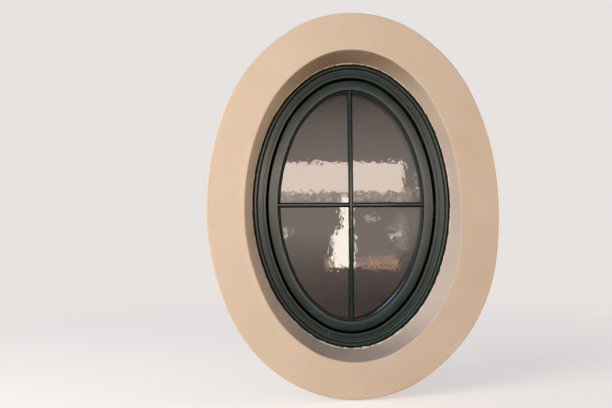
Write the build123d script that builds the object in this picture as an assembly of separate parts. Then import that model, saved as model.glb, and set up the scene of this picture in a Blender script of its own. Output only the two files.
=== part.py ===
from build123d import *
import os
from math import cos, degrees, radians, sin, sqrt

# Oval window with an inward-opening timber sash in a cast surround, in millimetres.
# X runs to the right seen from outside, Y from outside to inside, and Z up.
# The origin is the oval's centre, in the plane of the timber frame's front.
# An inset is a distance inwards from the frame's visible edge, square to the oval.

# Oval that every timber and glass piece follows: the frame's visible edge
frame_half_width = 325.0
frame_half_height = 465.0
side_arc_angle = 25.0
end_arc_angle = 56.0

# Cast surround: a thick oval ring whose opening narrows towards the frame seated in its back
reveal_depth = 52.0
seat_depth = 4.0
band_width = 122.0
side_splay = 18.0
end_splay = 32.0

# Timber frame, moulded outside
frame_depth = 68.0
frame_cover = 18.0
face_width = 45.0
ridge_width = 9.0
cove_width = 9.0
cove_depth = 9.0
bead_width = 6.0
bead_rise = 2.0

# Timber sash, with an overlap that closes on the frame from inside
shadow_gap = 8.0
sash_setback = 15.0
sash_face_width = 30.0
lip_slope_width = 6.0
lip_depth = 13.0
rebate_width = 17.0
overlap_width = 29.0
overlap_thickness = 16.0
closing_gap = 4.0

# Double glazing, the blocks it stands on and the bead that holds it
pane_thickness = 4.0
pane_cavity = 16.0
pane_edge_play = 3.0
spacer_width = 10.5
block_length = 30.0
block_spacing = 110.0
block_seat_gap = 0.3
fit_gap = 0.2

# Glazing bars, bonded to both faces of the glass
bar_width = 16.0
bar_flat = 6.5
bar_height = 10.0
bar_base = 2.0

# Mortised pin hinges on the left seen from outside
hinge_spacing = 250.0
barrel_radius = 7.0
barrel_length = 28.0
barrel_edge_gap = 1.0
barrel_running_gap = 0.4
hinge_pin_radius = 4.0
hinge_pin_length = 22.0
pin_clearance = 0.05
leaf_thickness = 3.0
leaf_height = 22.0
leaf_grip = 32.0
leaf_clearance = 0.1

# Turn latch let into the edge of the sash, opposite the hinges
spindle_inset = 61.0
spindle_side = 7.0
spindle_play = 0.1
spindle_hole = 11.0
tongue_reach = 30.0
tongue_width = 10.0
tongue_thickness = 10.0
hub_radius = 6.0
case_wall = 2.0
case_play = 1.0
faceplate_thickness = 2.0
faceplate_width = 20.0
faceplate_end = 14.0
strike_thickness = 2.0
strike_width = 20.0
strike_end = 14.0
strike_pocket_play = 3.0

# Handle on the inner face of the sash
rose_width = 24.0
rose_height = 70.0
rose_thickness = 6.0
rose_corner = 4.0
neck_radius = 9.0
neck_length = 38.0
neck_running_gap = 0.3
lever_length = 115.0
lever_thickness = 10.0
lever_root_width = 22.0
lever_tip_width = 15.0

# Bent steel straps that fix the frame to the wall
strap_angle = 40.0
strap_width = 30.0
strap_thickness = 3.0
strap_leg = 44.0
strap_reach = 46.0
strap_hole_radius = 4.5
strap_hole_edge = 16.0
strap_seat_gap = 0.1

# Depths and insets that follow from the sizes above
frame_back = frame_depth
sash_front = sash_setback
sash_edge = face_width + shadow_gap
lip_edge = sash_edge + sash_face_width + lip_slope_width
rebate_inset = lip_edge - rebate_width
overlap_inset = face_width - overlap_width
overlap_front = frame_back + closing_gap
sash_back = overlap_front + overlap_thickness
outer_pane_front = sash_front + lip_depth
cavity_front = outer_pane_front + pane_thickness
inner_pane_front = cavity_front + pane_cavity
unit_back = inner_pane_front + pane_thickness
pane_inset = rebate_inset + pane_edge_play

hinge_x = -(frame_half_width - overlap_inset + barrel_radius + barrel_edge_gap)
hinge_y = sash_back - overlap_thickness / 2
hinge_heights = (-hinge_spacing / 2, hinge_spacing / 2)
leaf_offset = (barrel_running_gap + barrel_length) / 2

latch_x = frame_half_width - spindle_inset
sash_edge_x = frame_half_width - sash_edge
strike_x = frame_half_width - face_width
latch_y = (sash_front + overlap_front) / 2
cavity_half = tongue_thickness / 2 + case_play
case_half = cavity_half + case_wall
cavity_low = -tongue_reach - case_play
cavity_high = hub_radius + case_play
rose_back = sash_back
rose_front = rose_back + rose_thickness
neck_back = rose_front + neck_running_gap
lever_back = neck_back + neck_length


def eight_centre_oval(half_width, half_height):
    """Eight tangent arcs close to an ellipse, each as centre x, centre z, radius, start and end.

    The middle arcs have the ellipse's own radius of curvature halfway round them. The side and
    end radii then follow from the two half axes. Angles are in degrees, from +X towards +Z.
    """
    near, far = side_arc_angle, end_arc_angle
    cos_near, sin_near = cos(radians(near)), sin(radians(near))
    cos_far, sin_far = cos(radians(far)), sin(radians(far))
    halfway = radians((near + far) / 2)
    spread = (half_width * cos(halfway)) ** 2 + (half_height * sin(halfway)) ** 2
    middle = (half_width * half_height) ** 2 / spread**1.5
    across = half_width - middle * (cos_near - cos_far)
    upwards = half_height - middle * (sin_far - sin_near)
    determinant = (1 - cos_near) * (1 - sin_far) - cos_far * sin_near
    side = (across * (1 - sin_far) - cos_far * upwards) / determinant
    end = ((1 - cos_near) * upwards - sin_near * across) / determinant
    side_x = half_width - side
    middle_x = side_x + (side - middle) * cos_near
    middle_z = (side - middle) * sin_near
    end_z = half_height - end
    return [
        (side_x, 0, side, -near, near),
        (middle_x, middle_z, middle, near, far),
        (0, end_z, end, far, 180 - far),
        (-middle_x, middle_z, middle, 180 - far, 180 - near),
        (-side_x, 0, side, 180 - near, 180 + near),
        (-middle_x, -middle_z, middle, 180 + near, 180 + far),
        (0, -end_z, end, 180 + far, 360 - far),
        (middle_x, -middle_z, middle, 360 - far, 360 - near),
    ]


def station(oval, angle):
    """Plane square to the oval where its normal has this angle: x outwards, y in depth."""
    for centre_x, centre_z, radius, start, end in oval:
        if start <= angle <= end:
            out_x, out_z = cos(radians(angle)), sin(radians(angle))
            origin = (centre_x + radius * out_x, 0, centre_z + radius * out_z)
            return Plane(origin=origin, x_dir=(out_x, 0, out_z), z_dir=(-out_z, 0, out_x))
    raise ValueError(f"no arc holds the angle {angle}")


def turned_ring(oval, section):
    """Ring with this section, turned about each of the oval's centres in turn."""
    pieces = []
    for centre_x, centre_z, radius, start, end in oval:
        out_x, out_z = cos(radians(start)), sin(radians(start))
        origin = (centre_x + radius * out_x, 0, centre_z + radius * out_z)
        plane = Plane(origin=origin, x_dir=(out_x, 0, out_z), z_dir=(-out_z, 0, out_x))
        axis = Axis((centre_x, 0, centre_z), (0, -1, 0))
        pieces.append(revolve(plane * section, axis, end - start))
    return Part() + pieces


def outline(*points):
    """Closed section through points given as inset and depth."""
    return make_face(Polyline(*[(-inset, depth) for inset, depth in points], close=True))


def rectangle(inset_1, inset_2, depth_1, depth_2):
    """Rectangular section between two insets and two depths."""
    return outline((inset_1, depth_1), (inset_2, depth_1), (inset_2, depth_2), (inset_1, depth_2))


def oval_face(oval, inset, depth):
    """Flat face at one depth, bounded by the oval moved inwards by the inset."""
    front_view = Plane(origin=(0, depth, 0), x_dir=(1, 0, 0), z_dir=(0, -1, 0))
    arcs = [
        CenterArc((centre_x, centre_z), radius - inset, start, end - start)
        for centre_x, centre_z, radius, start, end in oval
    ]
    return front_view * make_face(arcs)


def oval_plate(oval, inset, front, back):
    """Flat plate between two depths, bounded by the oval moved inwards by the inset."""
    return extrude(oval_face(oval, inset, back), back - front)


def block(x_1, x_2, y_1, y_2, z_1, z_2):
    """Box between two corners."""
    middle = ((x_1 + x_2) / 2, (y_1 + y_2) / 2, (z_1 + z_2) / 2)
    return Pos(*middle) * Box(x_2 - x_1, y_2 - y_1, z_2 - z_1)


def rod(start, direction, radius, length):
    """Round bar from a point along a direction."""
    return extrude(Plane(origin=start, z_dir=direction) * Circle(radius), length)


frame_oval = eight_centre_oval(frame_half_width, frame_half_height)
mouth_oval = eight_centre_oval(frame_half_width + side_splay, frame_half_height + end_splay)


def surround():
    """Oval ring of one casting, with straight-ruled splays and a seat for the frame behind."""
    ring = oval_plate(mouth_oval, -band_width, -reveal_depth, seat_depth)
    mouth = oval_face(mouth_oval, 0, -reveal_depth)
    throat = oval_face(frame_oval, 0, 0)
    seat = oval_plate(frame_oval, -frame_cover - fit_gap, 0, seat_depth)
    return ring - loft([mouth, throat], ruled=True) - seat


def frame_profile():
    """Section of the frame: ridge, cove, flat and rising bead outside, square behind."""
    cove_end = ridge_width + cove_width
    bead_edge = face_width - bead_width
    return outline(
        (-frame_cover, 0),
        (ridge_width, 0),
        (cove_end, cove_depth),
        (bead_edge, cove_depth),
        (face_width, cove_depth - bead_rise),
        (face_width, frame_back),
        (-frame_cover, frame_back),
    )


def outer_frame():
    """Frame ring, cut for the hinge leaves, the strike plate and the latch's tongue."""
    ring = turned_ring(frame_oval, frame_profile())
    for height in hinge_heights:
        ring -= frame_leaf(height, leaf_clearance)
    return ring - strike_shape(strike_x - shadow_gap / 2) - tongue_pocket()


def sash_profile():
    """Section of the sash: flat face, sloped lip, glazing rebate and overlap on the frame."""
    return outline(
        (sash_edge, sash_front),
        (sash_edge + sash_face_width, sash_front),
        (lip_edge, outer_pane_front),
        (rebate_inset, outer_pane_front),
        (rebate_inset, sash_back),
        (overlap_inset, sash_back),
        (overlap_inset, overlap_front),
        (sash_edge, overlap_front),
    )


def sash():
    """Sash ring, cut for the hinge leaves, the latch case and the spindle."""
    ring = turned_ring(frame_oval, sash_profile())
    for height in hinge_heights:
        ring -= sash_leaf(height, leaf_clearance)
    ring -= case_shape(fit_gap) + faceplate_shape()
    return ring - square_bar(spindle_hole, latch_y, sash_back)


def outer_pane():
    """Outer pane of patterned glass."""
    return oval_plate(frame_oval, pane_inset, outer_pane_front, cavity_front)


def inner_pane():
    """Inner pane of clear glass."""
    return oval_plate(frame_oval, pane_inset, inner_pane_front, unit_back)


def spacer_bar():
    """Spacer with its edge seal, between the panes."""
    section = rectangle(pane_inset, pane_inset + spacer_width, cavity_front, inner_pane_front)
    return turned_ring(frame_oval, section)


def setting_blocks():
    """Two flat blocks under the glass, as thick as the bow of the rebate leaves room for."""
    _, centre_z, radius, _, _ = frame_oval[6]
    reach = radius - rebate_inset
    half = block_length / 2
    low = block_seat_gap - sqrt(reach**2 - half**2)
    high = pane_edge_play - reach
    blocks = []
    for side in (-1, 1):
        lean = degrees(side * block_spacing / 2 / reach)
        seat = Plane(origin=(0, 0, centre_z), x_dir=(1, 0, 0), z_dir=(0, 0, 1))
        flat = block(-half, half, outer_pane_front, unit_back, low, high)
        blocks.append(seat * Rot(0, lean, 0) * flat)
    return blocks


def glazing_bead():
    """Square timber bead that holds the glass from inside, in line with the lip outside."""
    section = rectangle(rebate_inset + fit_gap, lip_edge, unit_back, sash_back)
    return turned_ring(frame_oval, section)


def bar_section(side):
    """Section of a bar that stands on the glass towards one side, sloped to a narrow flat."""
    wide, flat = bar_width / 2, bar_flat / 2
    points = [
        (-wide, 0),
        (wide, 0),
        (wide, side * bar_base),
        (flat, side * bar_height),
        (-flat, side * bar_height),
        (-wide, side * bar_base),
    ]
    return make_face(Polyline(*points, close=True))


def crossed_bars(face, side, border):
    """Upright through the middle and two cross bars against it, scribed to the border."""
    past_lip = sash_edge + sash_face_width / 2
    reach_x = frame_half_width - past_lip
    reach_z = frame_half_height - past_lip
    section = bar_section(side)
    foot = Plane(origin=(0, face, -reach_z), x_dir=(1, 0, 0), z_dir=(0, 0, 1))
    left_end = Plane(origin=(-reach_x, face, 0), x_dir=(0, 0, -1), z_dir=(1, 0, 0))
    upright = extrude(foot * section, 2 * reach_z) - border
    cross = extrude(left_end * section, 2 * reach_x) - border - upright
    return upright, cross


def outer_bars():
    """Bars on the outer pane, scribed to the sloped lip of the sash."""
    lip = outline(
        (sash_edge, sash_front),
        (sash_edge + sash_face_width + fit_gap, sash_front),
        (lip_edge + fit_gap, outer_pane_front),
        (sash_edge, outer_pane_front),
    )
    return crossed_bars(outer_pane_front, -1, turned_ring(frame_oval, lip))


def inner_bars():
    """Bars on the inner pane, cut to the glazing bead."""
    bead = rectangle(sash_edge, lip_edge + fit_gap, unit_back, sash_back)
    return crossed_bars(unit_back, 1, turned_ring(frame_oval, bead))


def frame_leaf(height, play):
    """Leaf of a lower barrel, mortised into the back of the frame."""
    thick = leaf_thickness / 2 + play
    tall = leaf_height / 2 + play
    middle = height - leaf_offset
    front = frame_back - leaf_grip - play
    return block(hinge_x - thick, hinge_x + thick, front, hinge_y, middle - tall, middle + tall)


def sash_leaf(height, play):
    """Leaf of an upper barrel, mortised into the edge of the sash's overlap."""
    thick = leaf_thickness / 2 + play
    tall = leaf_height / 2 + play
    middle = height + leaf_offset
    side_x, _, radius, _, _ = frame_oval[0]
    edge = -side_x - sqrt((radius - overlap_inset) ** 2 - middle**2)
    end = edge + leaf_grip + play
    return block(hinge_x, end, hinge_y - thick, hinge_y + thick, middle - tall, middle + tall)


def hinge_frame_halves():
    """Lower barrels, each with its pin above and its leaf in the frame."""
    halves = []
    for height in hinge_heights:
        top = (hinge_x, hinge_y, height - barrel_running_gap / 2)
        barrel = rod(top, (0, 0, -1), barrel_radius, barrel_length)
        pin = rod(top, (0, 0, 1), hinge_pin_radius, hinge_pin_length)
        halves.append(barrel + pin + frame_leaf(height, 0))
    return halves


def hinge_sash_halves():
    """Upper barrels that turn on the pins, each with its leaf in the sash."""
    halves = []
    for height in hinge_heights:
        base = (hinge_x, hinge_y, height + barrel_running_gap / 2)
        barrel = rod(base, (0, 0, 1), barrel_radius, barrel_length)
        bore = rod(base, (0, 0, 1), hinge_pin_radius + pin_clearance, hinge_pin_length)
        halves.append(barrel + sash_leaf(height, 0) - bore)
    return halves


def case_shape(play):
    """Outside of the latch case, behind its faceplate."""
    back = latch_x - cavity_high - case_wall - play
    front = sash_edge_x - faceplate_thickness
    half = case_half + play
    low, high = cavity_low - case_wall - play, cavity_high + case_wall + play
    return block(back, front, latch_y - half, latch_y + half, low, high)


def faceplate_shape():
    """Outside of the latch's faceplate, flush with the edge of the sash at the spindle's height."""
    half = faceplate_width / 2
    low, high = cavity_low - faceplate_end, cavity_high + faceplate_end
    back = sash_edge_x - faceplate_thickness
    return block(back, sash_edge_x, latch_y - half, latch_y + half, low, high)


def case_cavity():
    """Room for the tongue to turn in, open through the faceplate."""
    back = latch_x - cavity_high
    near, far = latch_y - cavity_half, latch_y + cavity_half
    return block(back, sash_edge_x, near, far, cavity_low, cavity_high)


def square_bar(side, front, back):
    """Square bar along the spindle's axis."""
    half = side / 2
    return block(latch_x - half, latch_x + half, front, back, -half, half)


def latch_case():
    """Steel case and faceplate in one, open to the spindle on both sides."""
    opening = square_bar(spindle_hole, latch_y - case_half, latch_y + case_half)
    return case_shape(0) + faceplate_shape() - case_cavity() - opening


def latch_tongue():
    """Tongue that hangs straight down from its hub while the latch is undrawn."""
    back = Plane(
        origin=(latch_x, latch_y + tongue_thickness / 2, 0), x_dir=(1, 0, 0), z_dir=(0, -1, 0)
    )
    arm = Pos(0, -tongue_reach / 2) * Rectangle(tongue_width, tongue_reach)
    plan = RegularPolygon(hub_radius, 8) + arm - Rectangle(*[spindle_side + spindle_play] * 2)
    return extrude(back * plan, tongue_thickness)


def strike_shape(front):
    """Outside of the strike plate from a chosen front, let into the frame opposite the latch."""
    half = strike_width / 2
    low, high = cavity_low - strike_end, cavity_high + strike_end
    back = strike_x + strike_thickness
    return block(front, back, latch_y - half, latch_y + half, low, high)


def tongue_pocket():
    """Space behind the strike plate that the drawn tongue turns into."""
    back = latch_x + tongue_reach + strike_pocket_play
    near, far = latch_y - cavity_half, latch_y + cavity_half
    return block(strike_x, back, near, far, cavity_low, cavity_high)


def strike_plate():
    """Flat steel plate with a slot for the tongue."""
    return strike_shape(strike_x) - tongue_pocket()


def spindle():
    """Square spindle from the tongue into the neck of the handle."""
    return square_bar(spindle_side, latch_y - tongue_thickness / 2, neck_back + neck_length / 2)


def handle():
    """Round neck and a tapered lever that points to the window's middle while undrawn."""
    neck = rod((latch_x, neck_back, 0), (0, 1, 0), neck_radius, neck_length - lever_thickness)
    root, tip = lever_root_width / 2, lever_tip_width / 2
    tip_x = -(lever_length - tip)
    plan = make_face(
        [
            Line((0, root), (tip_x, tip)),
            ThreePointArc((tip_x, tip), (tip_x - tip, 0), (tip_x, -tip)),
            Line((tip_x, -tip), (0, -root)),
            ThreePointArc((0, -root), (root, 0), (0, root)),
        ]
    )
    back = Plane(origin=(latch_x, lever_back, 0), x_dir=(1, 0, 0), z_dir=(0, -1, 0))
    socket = square_bar(spindle_side + spindle_play, neck_back, neck_back + neck_length / 2)
    return neck + extrude(back * plan, lever_thickness) - socket


def handle_rose():
    """Flat plate with cut corners that carries the handle on the sash's inner face."""
    half_width, half_height = rose_width / 2, rose_height / 2
    left, right = latch_x - half_width, latch_x + half_width
    plate = block(left, right, rose_back, rose_front, -half_height, half_height)
    plate = chamfer(plate.edges().filter_by(Axis.Y), rose_corner)
    return plate - square_bar(spindle_hole, rose_back, rose_front)


def wall_straps():
    """Bent straps on the frame's outer edge, each with a hole for a wall screw."""
    seat = frame_cover + strap_seat_gap
    back = frame_back + strap_thickness
    half = strap_width / 2
    leg = block(seat, seat + strap_thickness, back - strap_leg, back, -half, half)
    tab = block(seat, seat + strap_reach, frame_back, back, -half, half)
    hole_x = seat + strap_reach - strap_hole_edge
    hole = rod((hole_x, frame_back, 0), (0, 1, 0), strap_hole_radius, strap_thickness)
    strap = leg + tab - hole
    angles = (strap_angle, 180 - strap_angle, 180 + strap_angle, 360 - strap_angle)
    return [station(frame_oval, angle) * strap for angle in angles]


def save(name, shape):
    """Write one sub-part, or a group of like solids, to its own file."""
    shapes = shape if isinstance(shape, list) else [shape]
    solids = [solid for item in shapes for solid in item.solids()]
    whole = solids[0] if len(solids) == 1 else Compound(children=solids)
    whole.label = name
    export_step(whole, os.path.join("parts", name + ".step"))


os.makedirs("parts", exist_ok=True)

# Fixed to the wall
save("surround", surround())
save("outer_frame", outer_frame())
save("wall_straps", wall_straps())
save("hinge_frame_halves", hinge_frame_halves())
save("strike_plate", strike_plate())

# Swinging with the sash
save("sash", sash())
save("outer_pane", outer_pane())
save("spacer_bar", spacer_bar())
save("inner_pane", inner_pane())
save("setting_blocks", setting_blocks())
save("glazing_bead", glazing_bead())
outer_upright, outer_cross = outer_bars()
save("outer_upright_bar", outer_upright)
save("outer_cross_bars", outer_cross)
inner_upright, inner_cross = inner_bars()
save("inner_upright_bar", inner_upright)
save("inner_cross_bars", inner_cross)
save("hinge_sash_halves", hinge_sash_halves())
save("latch_case", latch_case())
save("handle_rose", handle_rose())

# Turning with the handle
save("latch_tongue", latch_tongue())
save("spindle", spindle())
save("handle", handle())
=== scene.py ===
from math import acos, cos, pi, radians, sin, sqrt, tan

import bmesh
import bpy
import numpy as np
from mathutils import Matrix, Vector


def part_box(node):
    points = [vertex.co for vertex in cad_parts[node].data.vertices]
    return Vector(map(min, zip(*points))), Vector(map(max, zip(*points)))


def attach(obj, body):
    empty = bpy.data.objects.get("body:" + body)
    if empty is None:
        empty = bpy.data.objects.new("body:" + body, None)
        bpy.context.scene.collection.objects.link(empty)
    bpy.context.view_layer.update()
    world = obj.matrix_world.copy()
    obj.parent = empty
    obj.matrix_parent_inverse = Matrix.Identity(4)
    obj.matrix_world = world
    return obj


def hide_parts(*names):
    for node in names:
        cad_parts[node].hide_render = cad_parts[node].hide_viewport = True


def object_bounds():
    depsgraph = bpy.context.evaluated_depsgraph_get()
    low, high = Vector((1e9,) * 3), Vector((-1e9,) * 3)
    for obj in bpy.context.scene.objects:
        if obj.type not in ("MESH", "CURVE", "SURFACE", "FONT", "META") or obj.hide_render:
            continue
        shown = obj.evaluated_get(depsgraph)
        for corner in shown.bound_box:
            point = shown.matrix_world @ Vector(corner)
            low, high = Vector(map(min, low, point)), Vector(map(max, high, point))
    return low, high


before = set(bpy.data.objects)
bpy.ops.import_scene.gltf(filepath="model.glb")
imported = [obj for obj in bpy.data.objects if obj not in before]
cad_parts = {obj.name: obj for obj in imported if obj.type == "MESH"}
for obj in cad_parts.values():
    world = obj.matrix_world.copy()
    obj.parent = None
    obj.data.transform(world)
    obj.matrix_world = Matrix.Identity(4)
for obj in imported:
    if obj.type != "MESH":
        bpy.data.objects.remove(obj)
cad_low, cad_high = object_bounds()
mm = 0.001

# Camera
# It stands where the photograph was taken, a little left of the middle and just below it, and
# looks up by a few degrees. Its place comes from the ovals of the photograph.
eye = Vector((-0.220, -1.949, -0.083))
yaw_right, pitch_up, roll_left = radians(2.07), radians(2.51), radians(-0.33)
photo_width_pixels, focal_pixels = 612, 600
camera_data = bpy.data.cameras.new("camera")
camera_data.sensor_width = 36
camera_data.lens = camera_data.sensor_width * focal_pixels / photo_width_pixels
camera = bpy.data.objects.new("camera", camera_data)
level = Matrix.Rotation(-yaw_right, 4, "Z") @ Matrix.Rotation(pi / 2 + pitch_up, 4, "X")
camera.matrix_world = Matrix.Translation(eye) @ level @ Matrix.Rotation(roll_left, 4, "Z")
bpy.context.collection.objects.link(camera)
bpy.context.scene.camera = camera
bpy.context.scene.view_settings.view_transform = "Standard"

# Studio
# A pale floor that fades into an even pale background, a soft key lamp on the left and a warmer
# one on the right, a sky that is cooler from above, and a board behind the camera that stands for
# the street and that only the gloss can see.
backdrop = (0.80, 0.765, 0.75)


def add_node(tree, kind, values=None, **settings):
    """Adds a shader node. A socket's value is a plain value, or the output that it is linked to."""
    made = tree.nodes.new("ShaderNode" + kind)
    for name, value in settings.items():
        setattr(made, name, value)
    for name, value in (values or {}).items():
        if isinstance(value, bpy.types.NodeSocket):
            tree.links.new(value, made.inputs[name])
        else:
            made.inputs[name].default_value = value
    return made


def rgb(red, green, blue):
    """Colour with full alpha."""
    return (red, green, blue, 1.0)


def new_material(name):
    """Empty material and its node tree."""
    material = bpy.data.materials.new(name)
    material.use_nodes = True
    material.node_tree.nodes.clear()
    return material, material.node_tree


def finish_material(tree, shader):
    """Sends a shader to the material's surface."""
    add_node(tree, "OutputMaterial", {"Surface": shader})


def colour_ramp(tree, factor, *stops):
    """Colour ramp through stops of (place, colour)."""
    ramp = add_node(tree, "ValToRGB", {"Fac": factor})
    elements = ramp.color_ramp.elements
    while len(elements) < len(stops):
        elements.new(0.5)
    for element, (place, colour) in zip(elements, stops):
        element.position = place
        element.color = colour
    return ramp.outputs["Color"]


def map_range(tree, value, start, end, low=0.0, high=1.0):
    """Straight map of a value from one range to another, held at the ends."""
    values = {"Value": value, "From Min": start, "From Max": end, "To Min": low, "To Max": high}
    return add_node(tree, "MapRange", values).outputs[0]


def calculate(tree, operation, first, second):
    """Sum, product or comparison of two values."""
    return add_node(tree, "Math", {0: first, 1: second}, operation=operation).outputs[0]


def mix_colours(tree, share, under, over, way="MIX"):
    """Colour laid over another one by a share."""
    made = add_node(tree, "Mix", {0: share, 6: under, 7: over}, data_type="RGBA", blend_type=way)
    return made.outputs[2]


def mix_shaders(tree, share, first, second):
    """Share of the second shader, and the rest of the first."""
    return add_node(tree, "MixShader", {0: share, 1: first, 2: second}).outputs[0]


def noise(tree, place, scale, detail, **others):
    """Cloudy noise about 0.5."""
    values = {"Vector": place, "Scale": scale, "Detail": detail, **others}
    return add_node(tree, "TexNoise", values).outputs["Fac"]


world = bpy.data.worlds.new("studio")
bpy.context.scene.world = world
world.use_nodes = True
sky = world.node_tree
sky.nodes.clear()
rays = add_node(sky, "LightPath").outputs
seen = calculate(sky, "MAXIMUM", rays["Is Camera Ray"], rays["Is Transmission Ray"])
direction = add_node(sky, "TexCoord").outputs["Generated"]
height = map_range(sky, add_node(sky, "SeparateXYZ", {0: direction}).outputs["Z"], -1.0, 1.0)
glow = colour_ramp(
    sky, height,
    (0.0, rgb(0.265, 0.185, 0.115)),
    (0.5, rgb(0.220, 0.205, 0.195)),
    (0.75, rgb(0.195, 0.212, 0.275)),
)
shine = colour_ramp(
    sky, height,
    (0.25, rgb(0.20, 0.16, 0.13)),
    (0.45, rgb(*backdrop)),
    (0.6, rgb(*backdrop)),
    (0.8, rgb(0.24, 0.27, 0.31)),
)
light = add_node(sky, "Background", {"Color": glow, "Strength": 1.0}).outputs[0]
pale = add_node(sky, "Background", {"Color": rgb(*backdrop), "Strength": 1.0}).outputs[0]
glossy = add_node(sky, "Background", {"Color": shine, "Strength": 1.0}).outputs[0]
unseen = mix_shaders(sky, rays["Is Glossy Ray"], light, glossy)
add_node(sky, "OutputWorld", {"Surface": mix_shaders(sky, seen, unseen, pale)})


def softbox(name, place, target, width, height, power, colour):
    """Rectangular lamp that faces its target."""
    lamp = bpy.data.lights.new(name, "AREA")
    lamp.shape = "RECTANGLE"
    lamp.size, lamp.size_y = width, height
    lamp.energy = power
    lamp.color = colour
    holder = bpy.data.objects.new(name, lamp)
    aim = (Vector(target) - Vector(place)).to_track_quat("-Z", "Y")
    holder.matrix_world = Matrix.Translation(place) @ aim.to_matrix().to_4x4()
    bpy.context.collection.objects.link(holder)
    return holder


key = softbox("key", (-3.2, -2.2, 0.7), (0, 0, 0), 2.0, 1.4, 163, (1.0, 0.965, 0.93))
key.visible_glossy = False
fill = softbox("fill", (4.0, -0.65, -0.3), (0, 0, 0), 2.0, 2.0, 108, (1.0, 0.82, 0.56))
fill.visible_glossy = False


def new_mesh(name, points, faces, smooth_angle=None):
    """Mesh object at the origin from arrays of points and of four-cornered faces."""
    mesh = bpy.data.meshes.new(name)
    mesh.from_pydata(points.reshape(-1, 3).tolist(), [], faces.reshape(-1, faces.shape[-1]).tolist())
    if smooth_angle is not None:
        mesh.shade_smooth()
        mesh.set_sharp_from_angle(angle=smooth_angle)
    made = bpy.data.objects.new(name, mesh)
    bpy.context.collection.objects.link(made)
    return made


def floor_material():
    """Pale floor, lifted a little for the camera, that thins out to nothing at its rim."""
    material, tree = new_material("pale_floor")
    place = add_node(tree, "TexCoord").outputs["Object"]
    distance = add_node(tree, "VectorMath", {0: place}, operation="LENGTH").outputs["Value"]
    rim = {"Value": distance, "From Min": 0.7, "From Max": 3.3}
    fade = add_node(tree, "MapRange", rim, interpolation_type="SMOOTHSTEP").outputs[0]
    matt = add_node(tree, "BsdfDiffuse", {"Color": rgb(0.58, 0.565, 0.53)}).outputs[0]
    by_camera = add_node(tree, "LightPath").outputs["Is Camera Ray"]
    lift = add_node(tree, "Emission", {"Color": rgb(0.52, 0.495, 0.485), "Strength": by_camera}).outputs[0]
    lifted = add_node(tree, "AddShader", {0: matt, 1: lift}).outputs[0]
    clear = add_node(tree, "BsdfTransparent").outputs[0]
    finish_material(tree, mix_shaders(tree, fade, lifted, clear))
    return material


floor_reach = 3.5
corners = np.array([(-1, -1), (1, -1), (1, 1), (-1, 1)]) * floor_reach
floor_points = np.c_[corners, np.zeros(4)]
floor = new_mesh("floor", floor_points, np.array([[0, 1, 2, 3]]))
floor.location.z = cad_low.z
floor.data.materials.append(floor_material())
floor.visible_glossy = False


street = (
    # Left, right, low and high on the board, colour, softness of the edges, broken up by leaves
    (-9.0, -2.6, -9.0, 9.0, rgb(0.05, 0.045, 0.04), 0.4, False),
    (2.6, 9.0, -9.0, 9.0, rgb(0.05, 0.045, 0.04), 0.4, False),
    (-2.6, -1.8, 1.8, 3.2, rgb(8.5, 11.0, 18.5), 0.25, False),
    (0.36, 0.73, -0.30, -0.03, rgb(1.42, 1.22, 1.02), 0.02, False),
    (0.45, 0.56, -0.005, 0.035, rgb(3.6, 3.2, 2.7), 0.014, False),
    (0.73, 0.80, -0.25, 0.04, rgb(2.2, 1.9, 1.6), 0.03, False),
    (0.645, 0.75, -0.155, -0.045, rgb(7.5, 6.9, 6.0), 0.02, True),
    (-0.226, -0.202, -0.15, -0.06, rgb(5.2, 4.7, 4.0), 0.008, False),
    (-0.165, -0.152, -0.12, -0.07, rgb(3.4, 3.0, 2.5), 0.008, False),
    (0.12, 0.52, -0.40, -0.30, rgb(1.9, 1.5, 1.2), 0.008, False),
    (0.50, 0.73, -0.40, -0.30, rgb(2.5, 1.65, 1.2), 0.03, False),
    (0.12, 0.74, -0.41, -0.30, rgb(3.8, 2.25, 1.5), 0.008, True),
    (-2.4, 0.84, 0.15, 0.26, rgb(2.5, 2.0, 1.65), 0.03, False),
    (-2.4, 0.84, 0.15, 0.26, rgb(4.4, 3.7, 3.05), 0.03, True),
    (-2.4, 0.785, 0.235, 0.485, rgb(7.25, 6.1, 5.1), 0.008, False),
    (0.892, 1.9, 0.19, 0.47, rgb(7.0, 6.0, 5.0), 0.01, True),
    (0.255, 0.345, -0.10, 0.195, rgb(10.0, 9.2, 8.0), 0.008, False),
    (0.215, 0.345, -0.20, -0.075, rgb(10.0, 9.2, 8.0), 0.008, False),
    (0.180, 0.360, -0.385, -0.120, rgb(10.0, 9.2, 8.0), 0.008, False),
)


def board_material():
    """Dark board that shades from below to above, with the street's stretches laid over it.

    A stretch covers by the product of its four soft edges, and a broken one also by a leafy noise.
    """
    material, tree = new_material("reflection_board")
    place = add_node(tree, "TexCoord").outputs["Object"]
    parts = add_node(tree, "SeparateXYZ", {0: place}).outputs
    across, up = parts["X"], parts["Z"]
    gaps = map_range(tree, noise(tree, place, 26.0, 2.0), 0.50, 0.60)
    colour = colour_ramp(
        tree, map_range(tree, up, -1.0, 2.0),
        (0.11, rgb(0.05, 0.04, 0.038)),
        (0.19, rgb(0.39, 0.33, 0.29)),
        (0.24, rgb(0.82, 0.70, 0.60)),
        (0.31, rgb(1.38, 1.20, 1.01)),
        (0.50, rgb(1.38, 1.17, 1.01)),
        (0.62, rgb(0.74, 0.63, 0.54)),
        (0.70, rgb(0.10, 0.085, 0.075)),
    )
    for left, right, low, high, tone, soft, broken in street:
        cover = gaps if broken else 1.0
        edges = ((across, left, soft), (across, right, -soft), (up, low, soft), (up, high, -soft))
        for value, edge, way in edges:
            cover = calculate(tree, "MULTIPLY", cover, map_range(tree, value, edge - way, edge + way))
        colour = mix_colours(tree, cover, colour, tone)
    glow = add_node(tree, "Emission", {"Color": colour, "Strength": 1.0})
    finish_material(tree, glow.outputs[0])
    return material


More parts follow.
